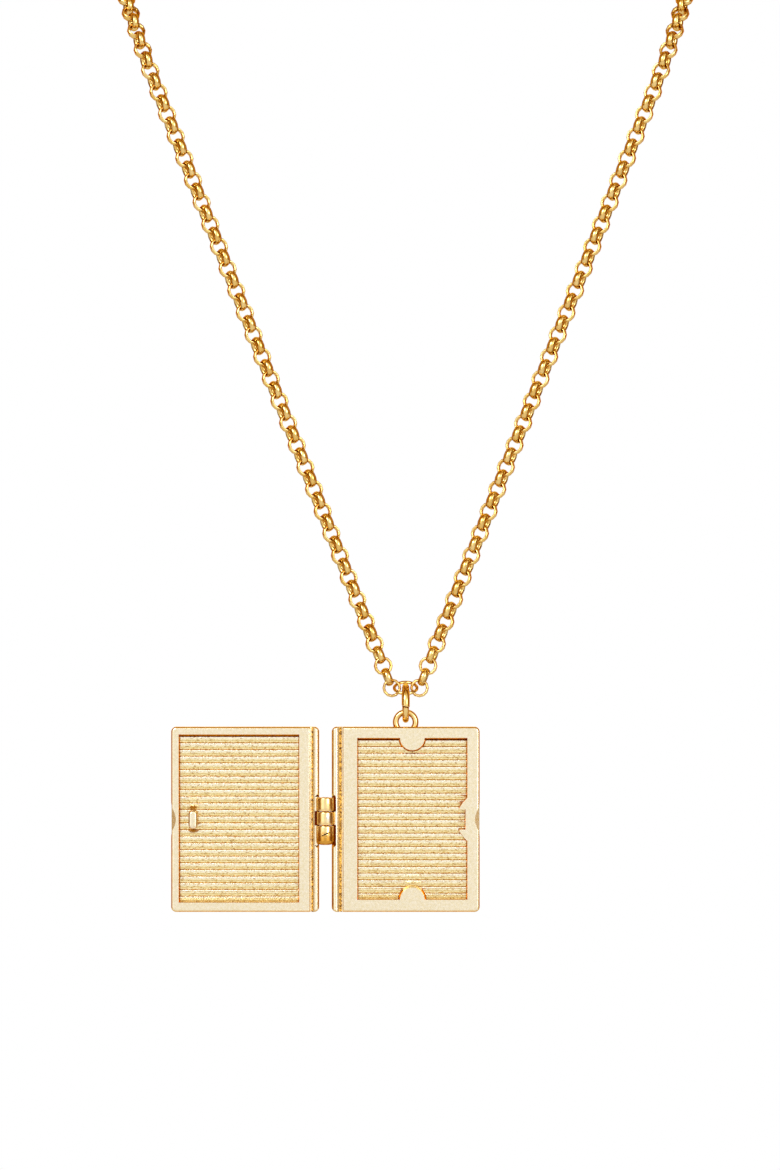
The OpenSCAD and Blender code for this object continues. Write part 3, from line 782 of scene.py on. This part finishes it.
# %% [markdown]
# The catch post on the cover, a small rounded bar that stands out of the panel and snaps between the
# teeth when the locket shuts. It could be a stretched sphere, but that would be too soft. A cube is
# drawn to its size, the four edges that stand out of the panel are rounded, and then its front's rim.

# %% Catch post
POST_W, POST_H, POST_PROUD = 1.4, 2.9, 0.85
POST_CORNER, POST_RIM = 0.6, 0.42
post = bmesh.new()
bmesh.ops.create_cube(post, size=1)
post_back = FACE_GAP + RECESS_D + PANEL_SINK
bmesh.ops.scale(post, verts=post.verts, vec=(POST_W, post_back + POST_PROUD, POST_H))
bmesh.ops.translate(post, verts=post.verts, vec=(POST_REACH, (post_back - POST_PROUD) / 2, 0))
soften(post, POST_CORNER, 6, lambda e: abs(e.verts[0].co.y - e.verts[1].co.y) > 1)
soften(post, POST_RIM, 6, lambda e: all(v.co.y < -POST_PROUD + 0.01 for v in e.verts))
finish_piece(post, "catch_post", "front", [satin_gold], "cover", mirrored=True)

# %% [markdown]
# The eyelet and the jump ring are bent from round wire. A ready torus would do for the eyelet, but the
# jump ring is cut at the front, where its two ends butt. So a circle of wire is spun about the ring's
# middle, and for the jump ring the spin stops a little short. Below the cut its wire is filed slimmer
# and above the cut it is fuller, as the photograph shows.

# %% Eyelet and jump ring
EYELET_R, EYELET_WIRE, EYELET_Y, EYELET_RISE = 1.575, 0.95, 1.4, 0.7
RING_R, RING_WIRE_R = 2.6, 0.55
WIRE_SIDES, EYELET_STEPS, RING_STEPS = 16, 56, 80


def wire_ring(radius, wire_r, steps):
    """A ring of round wire about the Z axis."""
    wire = arc((0, 0), wire_r, 0, 360 - 360 / WIRE_SIDES, WIRE_SIDES - 1)
    return spun([(radius + x, 0, z) for x, z in wire], steps, closed=True)


eyelet = wire_ring(EYELET_R, EYELET_WIRE / 2, EYELET_STEPS)
bmesh.ops.rotate(eyelet, verts=eyelet.verts, cent=(0, 0, 0), matrix=Matrix.Rotation(math.radians(90), 3, "X"))
bmesh.ops.translate(eyelet, verts=eyelet.verts, vec=(LEAF_MID, EYELET_Y, leaf_half + EYELET_RISE))
finish_piece(eyelet, "eyelet", "back", [bright_gold], "back_half")

ring_centre = eye_pivot + UP * RING_R
SPLIT_DROP, SPLIT_DEG, SPLIT_SLANT, SPLIT_EDGE = 0.45, 2.0, 13, 0.08
SLIM_BELOW, THICK_ABOVE, UNEVEN_DEG, FADE_DEG, SLANT_DEG = 0.91, 1.16, 100, 60, 12
split_turn = math.degrees(math.asin(SPLIT_DROP / RING_R))
ring = bmesh.new()
bmesh.ops.create_circle(ring, cap_ends=True, segments=WIRE_SIDES, radius=RING_WIRE_R)
bmesh.ops.translate(ring, verts=ring.verts, vec=(0, -RING_R, 0))
bmesh.ops.rotate(ring, verts=ring.verts, cent=(0, 0, 0),
                 matrix=Matrix.Rotation(math.radians(split_turn + SPLIT_DEG / 2), 3, "X"))
bmesh.ops.spin(ring, geom=ring.faces[:], cent=(0, 0, 0), axis=ACROSS,
               angle=math.radians(360 - SPLIT_DEG), steps=RING_STEPS)
soften(ring, SPLIT_EDGE, 2, lambda e: True, least_angle=50)


def turn_from_cut(spot):
    """Degrees round the ring from its cut to a spot, upwards."""
    return math.degrees(math.atan2(spot.z, -spot.y)) + split_turn


# Painted shade: the faces of the ring's cut get the dark slot finish.
for face in ring.faces:
    if abs(turn_from_cut(face.calc_center_median())) < SPLIT_DEG / 2 + math.degrees(SPLIT_EDGE / RING_R):
        face.material_index = 1
for vert in ring.verts:
    on_wire = Vector((0, vert.co.y, vert.co.z)).normalized() * RING_R
    turn = turn_from_cut(vert.co)
    share = SLIM_BELOW if turn < 0 else THICK_ABOVE
    fade = min(1.0, max(0.0, (UNEVEN_DEG - abs(turn)) / FADE_DEG))
    vert.co = on_wire + (vert.co - on_wire) * (1 + (share - 1) * fade)
    near = max(0.0, 1 - abs(turn) / SLANT_DEG)
    vert.co.z += near * math.tan(math.radians(SPLIT_SLANT)) * -vert.co.x
finish_piece(ring, "jump_ring_wire", "ring", [polished_gold, shaded_gold], "jump_ring",
             place=ring_centre)

# %% [markdown]
# The chain. Each link is a round band with its edges rounded off. The links could be strung along a
# curve again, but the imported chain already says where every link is: each loose solid's middle and
# flattest direction are measured, and one finer link is set there. A link has only a few dozen faces,
# because there are more than two hundred. The bottom link, which carries the jump ring, is larger.

# %% Chain
LINK_R, LINK_T, LINK_W, BOTTOM_LINK_W = 1.5, 0.49, 1.15, 0.6
LINK_STEPS, BOTTOM_LINK_STEPS = 12, 40
LARGER_BY = 0.2
MIDDLE_OF_ALL = Vector((0, 0, 0))


def link_shape(outer_r, width, steps):
    """A round band about the Z axis. Its section is drawn in shares of its thickness and width."""
    mid = outer_r - LINK_T / 2
    half = [(-0.42, 0.19), (0.12, 0.5), (0.5, 0.16)]
    section = half + [(x, -z) for x, z in reversed(half)]
    return spun([(mid + x * LINK_T, 0, z * width) for x, z in section], steps, closed=True)


def loose_links(node):
    """Middle, axis and outer radius of each loose solid of a node, in mm."""
    bm = bmesh.new()
    bm.from_mesh(node.data)
    bmesh.ops.remove_doubles(bm, verts=bm.verts, dist=1e-7)
    seen = set()
    for first in bm.verts:
        if first.index in seen:
            continue
        seen.add(first.index)
        group, waiting = [], [first]
        while waiting:
            vert = waiting.pop()
            group.append(vert.co[:])
            for edge in vert.link_edges:
                other = edge.other_vert(vert)
                if other.index not in seen:
                    seen.add(other.index)
                    waiting.append(other)
        spots = np.array(group) / METRES
        middle = (spots.min(axis=0) + spots.max(axis=0)) / 2
        spread = np.cov((spots - middle).T)
        axis = np.linalg.eigh(spread)[1][:, 0]
        yield Vector(middle), Vector(axis), float(np.linalg.norm(spots - middle, axis=1).max())
    bm.free()


side_link = bpy.data.meshes.new("side_link")
shape = link_shape(LINK_R, LINK_W, LINK_STEPS)
shape.to_mesh(side_link)
shape.free()
chain_bm = bmesh.new()
link_count = 0
for middle, axis, reach in loose_links(frame["nodes"]["chain"]):
    known = len(chain_bm.verts)
    if reach > LINK_R + LARGER_BY:
        bottom = link_shape(reach, BOTTOM_LINK_W, BOTTOM_LINK_STEPS)
        bottom_mesh = bpy.data.meshes.new("bottom_link")
        bottom.to_mesh(bottom_mesh)
        bottom.free()
        chain_bm.from_mesh(bottom_mesh)
    else:
        chain_bm.from_mesh(side_link)
    chain_bm.verts.ensure_lookup_table()
    turn = axis.to_track_quat("Z", "Y").to_matrix().to_4x4()
    bmesh.ops.transform(chain_bm, matrix=Matrix.Translation(middle) @ turn, verts=chain_bm.verts[known:])
    link_count += 1
print("links placed:", link_count)
finish_piece(chain_bm, "chain_links", "necklace", [polished_gold], "chain",
             place=MIDDLE_OF_ALL, sharp=180)

# %% [markdown]
# The clasp at the nape is out of the photograph, so it is plain: a turned barrel with rounded
# shoulders and a wire eye at each end. A bevelled cylinder would do too, but a half section spun about
# the X axis gives the shoulders their full round. Each eye is set square to the link that hangs in it.

# %% Clasp
clasp_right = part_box("clasp")[1][0] / METRES
CLASP_HALF, CLASP_R, CLASP_EDGE = 4.5, 2.1, 1.0
EYE_R, EYE_WIRE_R, EYE_STEPS = 1.5, 0.4, 40
shoulder = [(CLASP_HALF - CLASP_EDGE + a, CLASP_R - CLASP_EDGE + b)
            for a, b in arc((0, 0), CLASP_EDGE, 0, 90, 6)]
half_section = [(CLASP_HALF, 0)] + shoulder
section = half_section + [(-x, r) for x, r in reversed(half_section)]
clasp = spun([(x, 0, r) for x, r in section], TURNED_STEPS, axis=ACROSS)
finish_piece(clasp, "clasp_barrel", "necklace", [polished_gold], "clasp",
             place=MIDDLE_OF_ALL)
eye_x = clasp_right - EYE_R - EYE_WIRE_R
eye_links = sorted(loose_links(frame["nodes"]["chain"]), key=lambda link: link[0].length)[:2]
for end in (1, -1):
    eye = wire_ring(EYE_R, EYE_WIRE_R, EYE_STEPS)
    eye_axis = next(axis for middle, axis, _ in eye_links if middle.x * end > 0).cross(ACROSS)
    turn = eye_axis.to_track_quat("Z", "Y").to_matrix().to_4x4()
    bmesh.ops.transform(eye, matrix=Matrix.Translation((end * eye_x, 0, 0)) @ turn, verts=eye.verts)
    finish_piece(eye, f"clasp_eye_{'right' if end > 0 else 'left'}", "necklace",
                 [polished_gold], "clasp", place=MIDDLE_OF_ALL)
